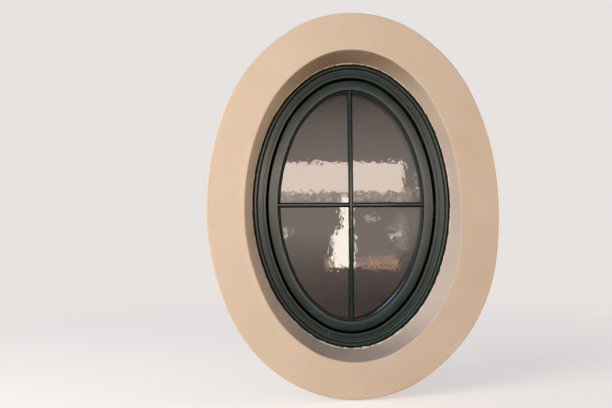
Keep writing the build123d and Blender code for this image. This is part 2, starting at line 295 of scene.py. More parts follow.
board_reach, board_low, board_high, board_depth = 8.0, -1.8, 3.4, -3.0
board_points = np.array([
    (-board_reach, board_depth, board_low),
    (board_reach, board_depth, board_low),
    (board_reach, board_depth, board_high),
    (-board_reach, board_depth, board_high),
])
board = new_mesh("reflection_board", board_points, np.array([[3, 2, 1, 0]]))
board.data.materials.append(board_material())
board.visible_camera = False
board.visible_diffuse = False
board.visible_transmission = False
board.visible_shadow = False

# Surround
# One broad oval ring of fine render over a casting, painted beige. It was drawn and trowelled by
# hand, so its face rolls a little, its arrises are soft and its outline isn't quite true.
visible_half_width, visible_half_height = 325 * mm, 465 * mm
side_arc, end_arc = radians(25), radians(56)
side_splay, end_splay = 18 * mm, 32 * mm
surround_front = cad_low.y
surround_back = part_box("surround")[1].y
band_width = cad_high.x - visible_half_width - side_splay
seat_cover = 18.2 * mm


def eight_centre_oval(half_width, half_height):
    """Side, middle and end arc of an oval quarter, as rows of centre x, centre z and radius.

    The middle arc has the radius of curvature of the ellipse halfway round it, and the other two
    follow from the half axes, since the arcs meet with one tangent at the two given angles.
    """
    cos_near, sin_near = cos(side_arc), sin(side_arc)
    cos_far, sin_far = cos(end_arc), sin(end_arc)
    halfway = (side_arc + end_arc) / 2
    spread = (half_width * cos(halfway)) ** 2 + (half_height * sin(halfway)) ** 2
    middle = (half_width * half_height) ** 2 / spread**1.5
    across = half_width - middle * (cos_near - cos_far)
    upwards = half_height - middle * (sin_far - sin_near)
    determinant = (1 - cos_near) * (1 - sin_far) - cos_far * sin_near
    side = (across * (1 - sin_far) - cos_far * upwards) / determinant
    end = ((1 - cos_near) * upwards - sin_near * across) / determinant
    return np.array([
        (half_width - side, 0, side),
        (half_width - side + (side - middle) * cos_near, (side - middle) * sin_near, middle),
        (0, half_height - end, end),
    ])


frame_oval = eight_centre_oval(visible_half_width, visible_half_height)
mouth_oval = eight_centre_oval(visible_half_width + side_splay, visible_half_height + end_splay)


def on_oval(oval, angles, inset=0.0):
    """X and Z of the oval where its normal has each angle, moved inwards by an inset.

    The point is the centre of the arc that holds the angle, mirrored into the angle's quarter,
    plus the arc's radius less the inset along the normal.
    """
    folded = np.arctan2(np.abs(np.sin(angles)), np.abs(np.cos(angles)))
    arc = (folded > side_arc).astype(int) + (folded > end_arc)
    centre_x, centre_z, radius = oval[arc].T
    x = np.sign(np.cos(angles)) * centre_x + (radius - inset) * np.cos(angles)
    z = np.sign(np.sin(angles)) * centre_z + (radius - inset) * np.sin(angles)
    return x, z


def even_angles(oval, count, inset=0.0):
    """Normal angles of points spaced evenly along the oval: the inverse of its arc length."""
    fine = np.linspace(0, 2 * pi, 7201)
    x, z = on_oval(oval, fine, inset)
    run = np.r_[0, np.cumsum(np.hypot(np.diff(x), np.diff(z)))]
    return np.interp(np.arange(count) / count * run[-1], run, fine), run[-1]


def waves(points, length, seed, count=28):
    """Smooth random field of about unit height over points in space.

    It is a sum of sine waves, each with a random direction and phase and a length near the given.
    """
    random = np.random.default_rng(seed)
    way = random.normal(size=(count, 3))
    way *= (2 * pi / (length * random.uniform(0.6, 1.7, count)) / np.linalg.norm(way, axis=1))[:, None]
    phase = random.uniform(0, 2 * pi, count)
    return np.sin(points @ way.T + phase).sum(axis=-1) / sqrt(count / 2)


def closed_grid(rows, columns):
    """Faces between the points of a grid that closes on itself both ways."""
    row, column = np.meshgrid(np.arange(rows), np.arange(columns), indexing="ij")
    next_row, next_column = (row + 1) % rows, (column + 1) % columns
    corners = (row * columns + column, next_row * columns + column,
               next_row * columns + next_column, row * columns + next_column)
    return np.stack(corners, axis=-1)


def ring_map(made, points, length):
    """UV map in metres: along the ring in U and round its section in V, both without a jump."""
    rows, columns = points.shape[:2]
    turn = np.linalg.norm(np.roll(points[0], -1, axis=0) - points[0], axis=1)
    around = np.r_[0, np.cumsum(turn)]
    row, column = np.meshgrid(np.arange(rows), np.arange(columns), indexing="ij")
    u = np.stack((row, row + 1, row + 1, row), axis=-1) * (length / rows)
    v = around[np.stack((column, column, column + 1, column + 1), axis=-1)]
    layer = made.data.uv_layers.new(name="along")
    layer.data.foreach_set("uv", np.stack((u, v), axis=-1).astype(np.float32).ravel())


bell_places = np.array([-155, -120, -90, -62, -38, -16, 20, 60, 90, 130])
outer_bells = np.array([4.2, 6.7, -6.2, 6.1, 14.8, 3.7, 1.3, 4.1, -3.1, 5.0]) * mm
arris_bells = np.array([4.0, 5.3, -0.5, 9.5, 12.5, 3.0, -0.4, 0.4, -1.2, 0.4]) * mm


def hand_drawn(direction, bells):
    """How far an edge was drawn off the true oval, by its direction from the middle in radians.

    It is a sum of bell curves exp(-(turn / 20 degrees)^2) at set places, of the given heights.
    """
    turn = (np.degrees(direction)[:, None] - bell_places + 180) % 360 - 180
    return np.exp(-((turn / 20) ** 2)) @ bells


def surround_points(stations):
    """Points of the surround's ring, as an array of station by section, and where it is bare.

    A section point is the throat, plus a share of the way to the mouth, plus a step outwards,
    at a depth. Corners are quadratic curves between their two edges. The paint of the face ends
    on the inner arris in a slightly wavy line, and the reveal behind that line is bare.
    """
    soft_mouth, soft_rim = 5 * mm, 5 * mm
    depth = surround_front
    reveal = np.linspace(0, 1, 15)[:, None]
    bend = np.linspace(0, 1, 7)[:, None]
    band = np.linspace(0, 1, 30)[1:-1, None]
    side = np.linspace(0, 1, 12)[1:-1, None]

    def corner(before, at, after):
        return (1 - bend) ** 2 * before + 2 * bend * (1 - bend) * at + bend**2 * after

    throat = np.array([0, 0, 0.0])
    mouth_share = 1 - soft_mouth / -depth
    before_mouth = np.array([mouth_share, 0, depth * mouth_share])
    mouth = np.array([1, 0, depth])
    after_mouth = np.array([1, soft_mouth, depth])
    before_rim = np.array([1, band_width - soft_rim, depth])
    rim = np.array([1, band_width, depth])
    after_rim = np.array([1, band_width, depth + soft_rim])
    foot = np.array([1, band_width, surround_back])
    seat_back = np.array([0, seat_cover, surround_back])
    seat = np.array([0, seat_cover, 0])
    section = np.vstack((
        throat * (1 - reveal) + before_mouth * reveal,
        corner(before_mouth, mouth, after_mouth)[1:],
        after_mouth * (1 - band) + before_rim * band,
        corner(before_rim, rim, after_rim),
        after_rim * (1 - side) + foot * side,
        foot, seat_back, seat,
    ))
    share, out, depth_at = section.T
    x, z = on_oval(frame_oval, stations)
    mouth_x, mouth_z = on_oval(mouth_oval, stations)
    points = np.empty((len(stations), len(section), 3))
    points[..., 0] = x[:, None] + share * (mouth_x - x)[:, None] + out * np.cos(stations)[:, None]
    points[..., 1] = depth_at
    points[..., 2] = z[:, None] + share * (mouth_z - z)[:, None] + out * np.sin(stations)[:, None]
    visible = np.clip(-points[..., 1] / (6 * mm), 0, 1)
    outer = np.clip(out / band_width, 0, 1)
    direction = np.arctan2(z, x)
    wander = hand_drawn(direction, outer_bells)[:, None] + 0.6 * mm * waves(points, 300 * mm, 3)
    wander = wander * outer + hand_drawn(direction, arris_bells)[:, None] * share * (1 - outer)
    points[..., 0] += wander * np.cos(stations)[:, None] * visible
    points[..., 2] += wander * np.sin(stations)[:, None] * visible
    roll = 0.55 * mm * waves(points, 170 * mm, 6) + 0.16 * mm * waves(points, 38 * mm, 7)
    flat = np.clip(out / (20 * mm), 0, 1) * np.clip((band_width - out) / (12 * mm), 0, 1)
    points[..., 1] += (roll + 0.5 * mm) * flat * visible
    across = 0.25 * mm * waves(points, 110 * mm, 8) * share * (1 - share) * 4 * (out < 1e-9)
    points[..., 0] += across * np.cos(stations)[:, None]
    points[..., 2] += across * np.sin(stations)[:, None]
    step = np.hypot(np.hypot(np.diff(share) * side_splay, np.diff(out)), np.diff(depth_at))
    run = np.r_[0, np.cumsum(step)]
    past_arris = run - run[len(reveal) + 2] + 0.25 * mm * waves(points, 40 * mm, 9)
    bare_and_painted_shade = np.clip(0.5 - past_arris / (1.2 * mm), 0, 1)
    return points[:, ::-1], bare_and_painted_shade[:, ::-1]


def bump(tree, height, strength, distance, **others):
    """Normal of a surface that rises with a height, by up to a distance in metres."""
    values = {"Height": height, "Strength": strength, "Distance": distance, **others}
    return add_node(tree, "Bump", values).outputs[0]


def render_paint():
    """Beige masonry paint over fine render: slight patches, sand grain, trowel drag and specks.

    Where a point's stored share of bare render is one, the greyish pink render shows instead of the
    paint; on the render lip's left that is painted shade. The render carries painted shade too:
    darker and browner towards the top, darker and greyer towards the bottom.
    """
    material, tree = new_material("masonry_paint")
    place = add_node(tree, "TexCoord").outputs["Object"]
    patches = noise(tree, place, 7.0, 5.0, Roughness=0.62)
    paint = colour_ramp(
        tree, patches,
        (0.30, rgb(0.735, 0.562, 0.407)),
        (0.52, rgb(0.760, 0.585, 0.430)),
        (0.72, rgb(0.780, 0.605, 0.450)),
    )
    render = colour_ramp(
        tree, patches,
        (0.30, rgb(0.485, 0.400, 0.335)),
        (0.52, rgb(0.530, 0.440, 0.370)),
        (0.72, rgb(0.570, 0.475, 0.400)),
    )
    rise = map_range(tree, add_node(tree, "SeparateXYZ", {0: place}).outputs["Z"], -0.5, 0.5)
    # Painted shade on the bare render: darker and browner towards the top, darker and greyer at the
    # bottom, a little lighter between.
    painted_shade_by_height = colour_ramp(
        tree, rise,
        (0.03, rgb(0.61, 0.61, 0.63)),
        (0.14, rgb(1.07, 1.06, 1.05)),
        (0.50, rgb(1.04, 1.03, 1.03)),
        (0.84, rgb(0.98, 0.92, 0.83)),
        (0.97, rgb(0.58, 0.48, 0.38)),
    )
    render = mix_colours(tree, 1.0, render, painted_shade_by_height, "MULTIPLY")
    bare_and_painted_shade = add_node(tree, "Attribute", attribute_name="bare_and_painted_shade").outputs["Fac"]
    coat = mix_colours(tree, bare_and_painted_shade, paint, render)
    grain = noise(tree, place, 620.0, 3.0)
    fleck = colour_ramp(tree, grain, (0.25, rgb(0.90, 0.90, 0.90)), (0.6, rgb(1, 1, 1)))
    coat = mix_colours(tree, 1.0, coat, fleck, "MULTIPLY")
    cells = add_node(tree, "TexVoronoi", {"Vector": place, "Scale": 9.0, "Randomness": 1.0}).outputs
    chance = add_node(tree, "SeparateColor", {0: cells["Color"]}).outputs["Red"]
    rare = calculate(tree, "GREATER_THAN", chance, 0.93)
    near = calculate(tree, "LESS_THAN", cells["Distance"], 0.016)
    speck = calculate(tree, "MULTIPLY", calculate(tree, "MULTIPLY", rare, near), 0.45)
    coat = mix_colours(tree, speck, coat, rgb(0.16, 0.10, 0.07))
    fine = bump(tree, grain, 0.5, 0.0003)
    broad = bump(tree, noise(tree, place, 55.0, 4.0, Distortion=0.6), 0.5, 0.0009, Normal=fine)
    values = {"Base Color": coat, "Roughness": 0.82, "Specular IOR Level": 0.3, "Normal": broad}
    finish_material(tree, add_node(tree, "BsdfPrincipled", values).outputs[0])
    return material


def set_bare_and_painted_shade(made, values):
    """Stores at each point of a piece how much bare render shows instead of the paint, which on the
    render lip's left is painted shade.
    """
    values = values.astype(np.float32).ravel()
    made.data.attributes.new("bare_and_painted_shade", "FLOAT", "POINT").data.foreach_set("value", values)


masonry_paint = render_paint()
stations, surround_length = even_angles(mouth_oval, 640, -band_width / 2)
points, bare_and_painted_shade = surround_points(stations)
surround = new_mesh("surround_render", points, closed_grid(*points.shape[:2]), radians(50))
set_bare_and_painted_shade(surround, bare_and_painted_shade)
ring_map(surround, points, surround_length)
surround.data.materials.append(masonry_paint)
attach(surround, "fixed")
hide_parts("surround")

# Outer frame
# Laminated timber bent to the oval, moulded on its outer face: a quirk against the render, a round
# ridge, a cove, a flat and a small bead at the gap. It has a dark green satin paint, and it is
# chopped out on its inner side for the strike plate and for the tongue that turns in behind it.
frame_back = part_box("outer_frame")[1].y
frame_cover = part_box("outer_frame")[1].x - visible_half_width
ring_crease = radians(40)


def rounded_section(corners, radii, steps=4):
    """Closed outline with rounded corners, as an array of points.

    The arc of a corner touches both of its edges. Its points are the start and end radii turned
    into each other at an even rate. A point a rim's width outside each arc keeps the flats flat.
    """
    rim = 0.35 * mm
    corners = np.array(corners)
    made = []
    for before, at, after, radius in zip(np.roll(corners, 1, 0), corners, np.roll(corners, -1, 0), radii):
        if radius == 0:
            made.append(at)
            continue
        back = (before - at) / np.linalg.norm(before - at)
        on = (after - at) / np.linalg.norm(after - at)
        half = acos(np.clip(back @ on, -1, 1)) / 2
        reach = radius / tan(half)
        centre = at + (back + on) / np.linalg.norm(back + on) * radius / sin(half)
        start, end, turn = at + back * reach - centre, at + on * reach - centre, pi - 2 * half
        made.append(at + back * (reach + rim))
        for share in np.linspace(0, 1, steps + 1):
            made.append(centre + (sin((1 - share) * turn) * start + sin(share * turn) * end) / sin(turn))
        made.append(at + on * (reach + rim))
    return np.array(made)


def oval_ring(name, section, count):
    """Ring that carries a section of (inset, depth) points round the frame's oval."""
    angles, length = even_angles(frame_oval, count, float(section[:, 0].mean()))
    points = np.empty((count, len(section), 3))
    for column, (inset, depth) in enumerate(section):
        points[:, column, 0], points[:, column, 2] = on_oval(frame_oval, angles, inset)
        points[:, column, 1] = depth
    made = new_mesh(name, points, closed_grid(*points.shape[:2]), ring_crease)
    ring_map(made, points, length)
    return made


def cut_rooms(made, rooms):
    """Cuts box-shaped rooms out of a ring, each given by its low and its high corner."""
    foot = [(0, 0), (1, 0), (1, 1), (0, 1)]
    picks = np.array([(across, along, top) for top in (0, 1) for across, along in foot])
    sides = np.array([(3, 2, 1, 0), (4, 5, 6, 7), (0, 1, 5, 4), (1, 2, 6, 5), (2, 3, 7, 6), (3, 0, 4, 7)])
    for low, high in rooms:
        near, far = np.array(low), np.array(high)
        room = new_mesh("room", near + picks * (far - near), sides)
        cut = made.modifiers.new("room", "BOOLEAN")
        cut.object, cut.operation, cut.solver = room, "DIFFERENCE", "EXACT"
        whole = bpy.context.evaluated_depsgraph_get()
        made.data = bpy.data.meshes.new_from_object(
            made.evaluated_get(whole), preserve_all_data_layers=True, depsgraph=whole
        )
        made.modifiers.clear()
        bpy.data.objects.remove(room)
    made.data.set_sharp_from_angle(angle=ring_crease)


def green_paint():
    """Dark green satin paint on timber: brush marks along the piece, dust and a worn sheen."""
    material, tree = new_material("green_paint")
    along = add_node(tree, "TexCoord").outputs["UV"]
    stretched = add_node(tree, "Mapping", {"Vector": along, "Scale": (9.0, 900.0, 1.0)}).outputs[0]
    strokes = noise(tree, stretched, 1.0, 4.0, Roughness=0.6)
    place = add_node(tree, "TexCoord").outputs["Object"]
    patches = noise(tree, place, 16.0, 5.0, Roughness=0.6)
    colour = colour_ramp(
        tree, patches,
        (0.32, rgb(0.0135, 0.0255, 0.0215)),
        (0.55, rgb(0.0158, 0.0288, 0.0243)),
        (0.78, rgb(0.0200, 0.0325, 0.0275)),
    )
    streak = colour_ramp(tree, strokes, (0.3, rgb(0.90, 0.90, 0.90)), (0.7, rgb(1.08, 1.08, 1.08)))
    peel = bump(tree, noise(tree, place, 240.0, 2.0), 0.12, 0.0002)
    paint = add_node(tree, "BsdfPrincipled", {
        "Base Color": mix_colours(tree, 1.0, colour, streak, "MULTIPLY"),
        "Roughness": map_range(tree, patches, 0.3, 0.7, 0.22, 0.28),
        "Specular IOR Level": 0.62,
        "Normal": bump(tree, strokes, 0.14, 0.0002, Normal=peel),
    })
    finish_material(tree, paint.outputs[0])
    return material


paint_green = green_paint()
frame_section = rounded_section(
    np.array([
        (-frame_cover / mm, 0), (0.3, 0), (0.8, 5.2), (2.2, 5.4), (8.4, -0.2), (14.0, -0.2), (18.8, 9.2),
        (32.2, 9.4), (32.9, 11.2), (36.6, 11.2), (37.2, 7.2), (45.0, 7.4),
        (45.0, frame_back / mm), (-frame_cover / mm, frame_back / mm),
    ]) * mm,
    np.array([1.0, 0.15, 0.4, 1.0, 3.0, 2.5, 2.5, 0.5, 0.4, 0.4, 1.6, 2.0, 1.5, 1.5]) * mm,
)
frame_ring = oval_ring("outer_frame_moulded", frame_section, 560)
strike_low, strike_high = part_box("strike_plate")
lever_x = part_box("spindle")[0].lerp(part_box("spindle")[1], 0.5).x
# The plate's room is open ahead of it. The tongue's pocket lies within the plate's outline, by
# pocket_side and pocket_end, and goes pocket_reach beyond the lever's axis.
ahead, pocket_side, pocket_end, pocket_reach = 2 * mm, 4 * mm, 14 * mm, 33 * mm
cut_rooms(frame_ring, [
    (strike_low - Vector((ahead, 0, 0)), strike_high),
    (
        strike_low + Vector((0, pocket_side, pocket_end)),
        Vector((lever_x + pocket_reach, strike_high.y - pocket_side, strike_high.z - pocket_end)),
    ),
])
frame_ring.data.materials.append(paint_green)
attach(frame_ring, "fixed")
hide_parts("outer_frame")

# Render lip
# The painter's render and filler lap on to the frame all the way round in a thin ragged edge,
# painted with the surround and chipped at the bottom. On the left it shows the darker bare
# render, as painted shade.


def ragged_lip():
    """Thin ring from the reveal on to the frame, whose inner edge wanders and is chipped.

    The edge's inset is a mean plus long and short waves, and its chips are short waves cut off
    above a limit, which are deeper towards the bottom. On the left, most at the lower left, it
    shows the darker bare render instead of the paint, as painted shade.
    """
    angles, length = even_angles(frame_oval, 1500)
    x, z = on_oval(frame_oval, angles)
    route = np.stack((x, np.zeros_like(x), z), axis=-1)
    low = np.clip(-z / visible_half_height, 0, 1) ** 3
    edge = 1.2 * mm + 0.5 * mm * waves(route, 120 * mm, 21) + 0.35 * mm * waves(route, 18 * mm, 22)
    edge += 0.35 * mm * waves(route, 6 * mm, 23)
    edge += (0.4 + 2.0 * low) * mm * np.clip(waves(route, 26 * mm, 24) - 0.7, 0, 1)
    edge = np.clip(edge, -0.2 * mm, 5 * mm)
    share = np.array([0.0, 0.25, 0.6, 0.9, 1.0, 1.0, 0.6, 0.0])
    depth = np.array([-4.5, -2.6, -1.3, -0.8, -0.45, 0.3, 0.6, 0.6]) * mm
    start = -3.0 * mm
    inset = start + share * (edge[:, None] - start)
    points = np.empty((len(angles), len(share), 3))
    for column in range(len(share)):
        points[:, column, 0], points[:, column, 2] = on_oval(frame_oval, angles, inset[:, column])
        points[:, column, 1] = depth[column]
    made = new_mesh("render_lip", points, closed_grid(*points.shape[:2]), radians(60))
    # Painted shade: on the left, most at the lower left, the lip shows the darker bare render instead of
    # the paint.
    painted_shade_left = np.clip((-np.cos(angles) - 0.72 + 0.3 * np.clip(-np.sin(angles), 0, 1)) * 6, 0, 1)
    set_bare_and_painted_shade(made, np.repeat(painted_shade_left, len(share)))
    ring_map(made, points, length)
    return made


render_lip = ragged_lip()
render_lip.data.materials.append(masonry_paint)
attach(render_lip, "fixed")

# Sash
# Laminated timber too, in the same paint, hung on the left. Its face is slightly crowned, a sloped
# lip runs down to the glass, and its overlap closes on the back of the frame. It is mortised for
# the latch and drilled for the spindle.
sash_low, sash_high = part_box("sash")
pane_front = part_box("outer_pane")[0].y
overlap_edge = visible_half_width - sash_high.x
sash_front, sash_back = sash_low.y, sash_high.y
gasket_gap = 4 * mm
overlap_front = frame_back + gasket_gap
sash_edge, face_width, lip_width, rebate_width = 53 * mm, 30 * mm, 6 * mm, 17 * mm
lip_edge = sash_edge + face_width + lip_width
rebate_edge = lip_edge - rebate_width
crown = 0.4 * mm
sash_section = rounded_section(
    [
        (sash_edge, sash_front + crown), (sash_edge + face_width * 0.3, sash_front),
        (sash_edge + face_width * 0.7, sash_front), (sash_edge + face_width, sash_front + crown),
        (lip_edge, pane_front - 0.8 * mm), (lip_edge, pane_front), (rebate_edge, pane_front),
        (rebate_edge, sash_back), (overlap_edge, sash_back), (overlap_edge, overlap_front),
        (sash_edge, overlap_front),
    ],
    np.array([1.6, 25, 25, 1.6, 0.4, 0, 0, 1.0, 2.0, 2.0, 1.0]) * mm,
)
sash_ring = oval_ring("sash_moulded", sash_section, 560)
case_low, case_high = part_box("latch_case")
# Rooms for the faceplate, for the case behind it, which is smaller by case_side and case_end, and
# for the spindle. The first and the last start outside the wood, by past.
faceplate_depth, case_side, case_end, past = 2 * mm, 2 * mm, 12 * mm, 3 * mm
spindle_room = 5.5 * mm
cut_rooms(sash_ring, [
    (
        Vector((case_high.x - faceplate_depth, case_low.y, case_low.z)),
        case_high + Vector((past, 0, 0)),
    ),
    (
        Vector((case_low.x, case_low.y + case_side, case_low.z + case_end)),
        Vector((case_high.x - faceplate_depth / 2, case_high.y - case_side, case_high.z - case_end)),
    ),
    (
        Vector((lever_x - spindle_room, case_high.y - past, -spindle_room)),
        Vector((lever_x + spindle_room, sash_back + past, spindle_room)),
    ),
])
sash_ring.data.materials.append(paint_green)
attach(sash_ring, "opening_sash")
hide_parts("sash")

# Glass
# A sealed unit of two panes. The outer one is rolled glass with a wavy hammered pattern and a
# brownish grey tint, which stands for the dark room too, and the inner one is clear float glass.


def slab_faces(columns, rows):
    """Faces of two grids of points that lie face to face, and of the strip around their edges."""
    column, row = np.meshgrid(np.arange(columns - 1), np.arange(rows - 1), indexing="ij")
    first = column * rows + row
    quad = np.stack((first, first + rows, first + rows + 1, first + 1), axis=-1).reshape(-1, 4)
    total = columns * rows
    index = np.arange(total).reshape(columns, rows)
    border = np.r_[index[:-1, 0], index[-1, :-1], index[:0:-1, -1], index[0, :0:-1]]
    following = np.roll(border, -1)
    edge = np.stack((following, border, border + total, following + total), axis=-1)
    return np.vstack((quad, quad[:, ::-1] + total, edge))


def pane(name, node, columns, rows, front_relief=None, back_relief=None):
    """Closed oval pane with a grid on both faces.

    Rows lie at the heights h * sin(t) for even steps of t, and each is one chord of the oval cut
    into equal steps. Reliefs are added to the depth.
    """
    low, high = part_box(node)
    angles = np.linspace(-pi / 2, pi / 2, 4001)
    half_chord, chord_height = on_oval(frame_oval, angles, visible_half_width - high.x)
    row_height = chord_height[-1] * np.sin(np.linspace(-pi / 2, pi / 2, rows + 2)[1:-1])
    reach = np.interp(row_height, chord_height, half_chord)
    x = np.linspace(-1, 1, columns)[:, None] * reach
    z = np.broadcast_to(row_height, x.shape)
    sides = []
    for depth, relief in ((low.y, front_relief), (high.y, back_relief)):
        points = np.stack((x, np.full_like(x, depth), z), axis=-1)
        if relief is not None:
            points[..., 1] += relief(points)
        sides.append(points)
    return new_mesh(name, np.stack(sides), slab_faces(columns, rows), radians(30))


def float_waves(points):
    """Faint waves of the outer face: microns high, so that a reflection's edge just trembles.

    They are the sum of waves about 12 mm long and of waves about 45 mm long.
    """
    return (0.0115 * waves(points, 12 * mm, 31, 60) + 0.008 * waves(points, 45 * mm, 32, 30)) * mm


def rolled_waves(points):
    """Rolled waves of the inner face, about 26 mm long and a few hundredths of a millimetre high."""
    return 0.028 * mm * waves(points, 26 * mm, 33, 60)


def tinted_glass(name, tint, ripple):
    """Tinted glass, whose faces mirror by Fresnel's law where they look outwards.

    The share that is mirrored at a pane's front stands for all faces of a sealed unit together.
    Dust dulls the gloss here and there, and a fine ripple runs up and down.
    """
    material, tree = new_material(name)
    place = add_node(tree, "TexCoord").outputs["Object"]
    dust = map_range(tree, noise(tree, place, 30.0, 5.0), 0.4, 0.8, 0.0, 0.03)
    drawn = add_node(tree, "Mapping", {"Vector": place, "Scale": (150.0, 150.0, 115.0)}).outputs[0]
    rolled = bump(tree, noise(tree, drawn, 1.0, 2.0, Roughness=0.5), 1.0, ripple)
    mirror = add_node(tree, "BsdfGlossy", {"Roughness": dust, "Normal": rolled}).outputs[0]
    dark = [channel * 0.93 for channel in tint]
    through = colour_ramp(tree, noise(tree, place, 4.0, 2.0), (0.35, rgb(*dark)), (0.65, rgb(*tint)))
    clear = add_node(tree, "BsdfTransparent", {"Color": through}).outputs[0]
    share = add_node(tree, "Fresnel", {"IOR": 2.0}).outputs[0]
    behind = add_node(tree, "NewGeometry").outputs["Backfacing"]
    share = calculate(tree, "MULTIPLY", share, calculate(tree, "SUBTRACT", 1.0, behind))
    finish_material(tree, mix_shaders(tree, share, clear, mirror))
    return material


outer_glass = pane("patterned_pane", "outer_pane", 170, 250, float_waves, rolled_waves)
outer_glass.data.materials.append(tinted_glass("patterned_glass", (0.342, 0.308, 0.297), 0.036 * mm))
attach(outer_glass, "opening_sash")
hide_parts("outer_pane")

inner_glass = pane("clear_pane", "inner_pane", 60, 90)
inner_glass.data.materials.append(tinted_glass("clear_float_glass", (0.87, 0.87, 0.87), 0.001 * mm))
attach(inner_glass, "opening_sash")
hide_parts("inner_pane")

# Sealant
# A tooled fillet of nearly black sealant, run by gun between the outer pane and the sloped lip.
# It is smooth, so that it mirrors the sky at the lower right.


def sealant_skin():
    """Smooth, nearly black sealant with a soft gloss, a little uneven from the tooling."""
    material, tree = new_material("glazing_sealant")
    place = add_node(tree, "TexCoord").outputs["Object"]
    cloud = noise(tree, place, 70.0, 4.0)
    colour = colour_ramp(tree, cloud, (0.3, rgb(0.008, 0.011, 0.012)), (0.7, rgb(0.013, 0.017, 0.019)))
    values = {"Base Color": colour, "Roughness": 0.2, "Normal": bump(tree, cloud, 0.3, 0.0002)}
    finish_material(tree, add_node(tree, "BsdfPrincipled", values).outputs[0])
    return material


sealant_section = rounded_section(
    [
        (lip_edge - 3.0 * mm, pane_front + 0.02 * mm), (lip_edge - 1.8 * mm, pane_front - 2.6 * mm),
        (lip_edge - 0.2 * mm, pane_front - 2.3 * mm), (lip_edge + 3.3 * mm, pane_front - 0.35 * mm),
        (lip_edge + 3.5 * mm, pane_front + 0.02 * mm),
    ],
    np.array([0, 0.3, 1.0, 0.2, 0]) * mm,
)
sealant = oval_ring("glazing_sealant", sealant_section, 420)
sealant.data.materials.append(sealant_skin())
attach(sealant, "opening_sash")

# Spacer bar
# A bent metal tube filled with drying beads, glued between the two panes along their edge, with
# vent holes towards the space between them and a dark seal.


def spacer_metal():
    """Dull metal with rows of small dark vent dots."""
    material, tree = new_material("spacer_metal")
    along = add_node(tree, "TexCoord").outputs["UV"]
    dots = add_node(tree, "Mapping", {"Vector": along, "Scale": (400.0, 400.0, 1.0)}).outputs[0]
    cells = add_node(tree, "TexVoronoi", {"Vector": dots, "Scale": 1.0, "Randomness": 0.0})
    colour = colour_ramp(
        tree, cells.outputs["Distance"],
        (0.10, rgb(0.05, 0.05, 0.05)),
        (0.2, rgb(0.36, 0.36, 0.37)),
    )
    metal = add_node(tree, "BsdfPrincipled", {"Base Color": colour, "Metallic": 0.8, "Roughness": 0.42})
    finish_material(tree, metal.outputs[0])
    return material


spacer_low, spacer_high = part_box("spacer_bar")
spacer_outer = visible_half_width - spacer_high.x
spacer_inner = spacer_outer + 10.5 * mm
spacer_section = rounded_section(
    [
        (spacer_outer, spacer_low.y), (spacer_inner, spacer_low.y),
        (spacer_inner, spacer_high.y), (spacer_outer, spacer_high.y),
    ],
    np.array([0.5, 1.2, 1.2, 0.5]) * mm,
)
spacer = oval_ring("spacer_with_seal", spacer_section, 360)
spacer.data.materials.append(spacer_metal())
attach(spacer, "opening_sash")
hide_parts("spacer_bar")

# Setting blocks
# Small blocks of hard black plastic, moulded, on which the glass unit stands in its rebate. They
# are laid in loose before the glass and are held by its weight.


def moulded_black(name, roughness, gloss):
    """Black plastic or rubber with a fine moulded grain."""
    material, tree = new_material(name)
    place = add_node(tree, "TexCoord").outputs["Object"]
    grain = noise(tree, place, 900.0, 2.0)
    colour = colour_ramp(tree, grain, (0.3, rgb(0.010, 0.010, 0.011)), (0.7, rgb(0.018, 0.018, 0.019)))
    matt = add_node(tree, "BsdfPrincipled", {
        "Base Color": colour,
        "Roughness": roughness,
        "Specular IOR Level": gloss,
        "Normal": bump(tree, grain, 0.3, 0.0002),
    })
    finish_material(tree, matt.outputs[0])
    return material


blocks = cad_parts["setting_blocks"]
blocks.data.materials.clear()
blocks.data.materials.append(moulded_black("block_plastic", 0.6, 0.5))

# Glazing bars
# Slim timber bars bonded to both faces of the unit, each with two sloped sides and a narrow flat.
# The upright runs through, and the cross bars are scribed to it and stop against it.


def softened(name, node, width, segments=2):
    """Copy of a CAD node with its edges rounded over by a small width.

    Doubles are merged and coplanar faces joined first, so that only true edges are rounded.
    """
    made = bpy.data.objects.new(name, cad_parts[node].data.copy())
    bpy.context.collection.objects.link(made)
    made.data.materials.clear()
    shape = bmesh.new()
    shape.from_mesh(made.data)
    bmesh.ops.remove_doubles(shape, verts=shape.verts, dist=1e-6)
    bmesh.ops.dissolve_limit(shape, angle_limit=radians(2), verts=shape.verts, edges=shape.edges)
    edges = [edge for edge in shape.edges if edge.is_manifold and edge.calc_face_angle(0) > radians(35)]
    bmesh.ops.bevel(
        shape, geom=edges, offset=width, segments=segments, affect="EDGES", profile=0.5, clamp_overlap=True
    )
    bmesh.ops.recalc_face_normals(shape, faces=shape.faces)
    shape.to_mesh(made.data)
    shape.free()
    made.data.shade_smooth()
    made.data.set_sharp_from_angle(angle=radians(32))
    return made


for node in ("outer_upright_bar", "outer_cross_bars", "inner_upright_bar", "inner_cross_bars"):
    bar = softened(node + "_eased", node, 1.0 * mm, 3)
    bar.data.materials.append(paint_green)
    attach(bar, "opening_sash")
    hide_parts(node)

# Glazing bead
# Timber bead bent to the oval, square with one rounded corner and in the same paint. It is pinned
# in the rebate from inside and holds the glass.
bead_low, bead_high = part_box("glazing_bead")
bead_edge = rebate_edge + 0.2 * mm
bead_section = rounded_section(
    [
        (bead_edge, bead_low.y), (lip_edge, bead_low.y),
        (lip_edge, bead_high.y), (bead_edge, bead_high.y),
    ],
    np.array([0.4, 0.6, 4.5, 0.8]) * mm,
    steps=6,
)
bead = oval_ring("glazing_bead_eased", bead_section, 420)
bead.data.materials.append(paint_green)
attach(bead, "opening_sash")
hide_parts("glazing_bead")

